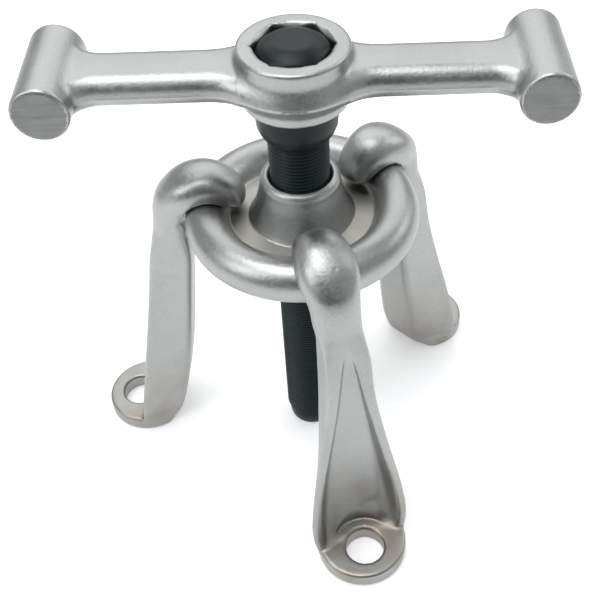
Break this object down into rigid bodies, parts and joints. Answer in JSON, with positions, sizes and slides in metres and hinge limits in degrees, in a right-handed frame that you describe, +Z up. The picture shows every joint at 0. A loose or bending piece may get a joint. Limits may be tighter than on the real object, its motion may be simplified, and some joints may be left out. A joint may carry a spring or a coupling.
{
  "type": "hub puller",
  "caption": "Wheel-hub puller: ring yoke with a forcing screw, sliding hooked legs with stud-hole feet, and a hammer-ended box handle on the screw's hexagon.",
  "frame": {"origin": "on the screw's axis, at the pressing tip's flat end, level with the undersides of the feet", "axes": "+Z up along the screw's axis towards its head; X along the handle's bar; -Y towards the front leg"},
  "size_m": [0.1856, 0.1621, 0.1938],
  "materials": {
    "satin_steel": "forged steel, fine blasted and satin plated",
    "black_oxide_steel": "machined steel, oiled black oxide"
  },
  "bodies": {
    "ring_yoke": {"ring_yoke": "satin_steel"},
    "pressing_tip": {"pressing_tip": "black_oxide_steel"},
    "forcing_screw": {"forcing_screw": "black_oxide_steel"},
    "strike_handle": {"strike_handle": "satin_steel"},
    "leg_front": {"leg_front": "satin_steel"},
    "leg_left": {"leg_left": "satin_steel"},
    "leg_right": {"leg_right": "satin_steel"}
  },
  "joints": [
    {"name": "screw_feed", "type": "slide", "parent": "ring_yoke", "child": "pressing_tip", "axis": [0, 0, 1], "range_m": [-0.0151, 0.0901]},
    {"name": "screw_turn", "type": "hinge", "parent": "pressing_tip", "child": "forcing_screw", "pos_m": [0, 0, 0], "axis": [0, 0, 1], "range_deg": [-3600, 21600]},
    {"name": "handle_lift", "type": "slide", "parent": "forcing_screw", "child": "strike_handle", "axis": [0, 0, 1], "range_m": [0, 0.025]},
    {"name": "leg_front_slide", "type": "hinge", "parent": "ring_yoke", "child": "leg_front", "pos_m": [0, 0, 0.1201], "axis": [0, 0, 1], "range_deg": [-25, 25]},
    {"name": "leg_left_slide", "type": "hinge", "parent": "ring_yoke", "child": "leg_left", "pos_m": [0, 0, 0.1201], "axis": [0, 0, 1], "range_deg": [-25, 25]},
    {"name": "leg_right_slide", "type": "hinge", "parent": "ring_yoke", "child": "leg_right", "pos_m": [0, 0, 0.1201], "axis": [0, 0, 1], "range_deg": [-25, 25]}
  ],
  "couplings": [
    {"joint": "screw_feed", "follows": "screw_turn", "m_per_rad": 0.00023873}
  ]
}
